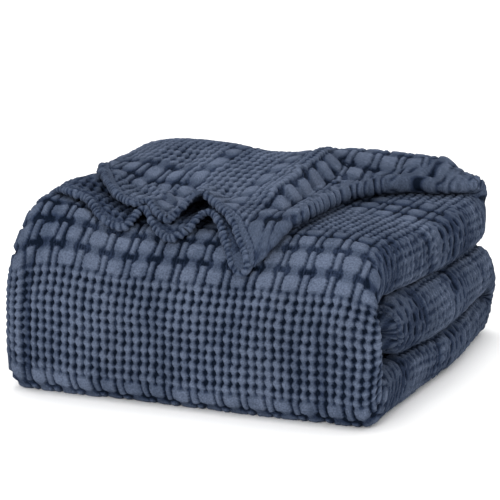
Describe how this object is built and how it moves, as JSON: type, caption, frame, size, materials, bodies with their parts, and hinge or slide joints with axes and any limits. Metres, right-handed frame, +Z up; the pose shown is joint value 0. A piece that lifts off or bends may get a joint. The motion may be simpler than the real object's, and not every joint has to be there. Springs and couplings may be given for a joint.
{
  "type": "folded waffle weave blanket",
  "caption": "Folded waffle weave cotton blanket: a stack of back-and-forth layers with rounded folds and ruffled hems turned over the front edge.",
  "frame": {"origin": "point on the floor under the middle of the folded stack", "axes": "+Z up, -Y towards the tall front face, +X towards the side with the rounded folds"},
  "size_m": [0.4173, 0.3866, 0.2089],
  "materials": {
    "cotton": "matte woven cotton, dark slate blue"
  },
  "bodies": {
    "root": {"blanket": "cotton"}
  },
  "joints": []
}
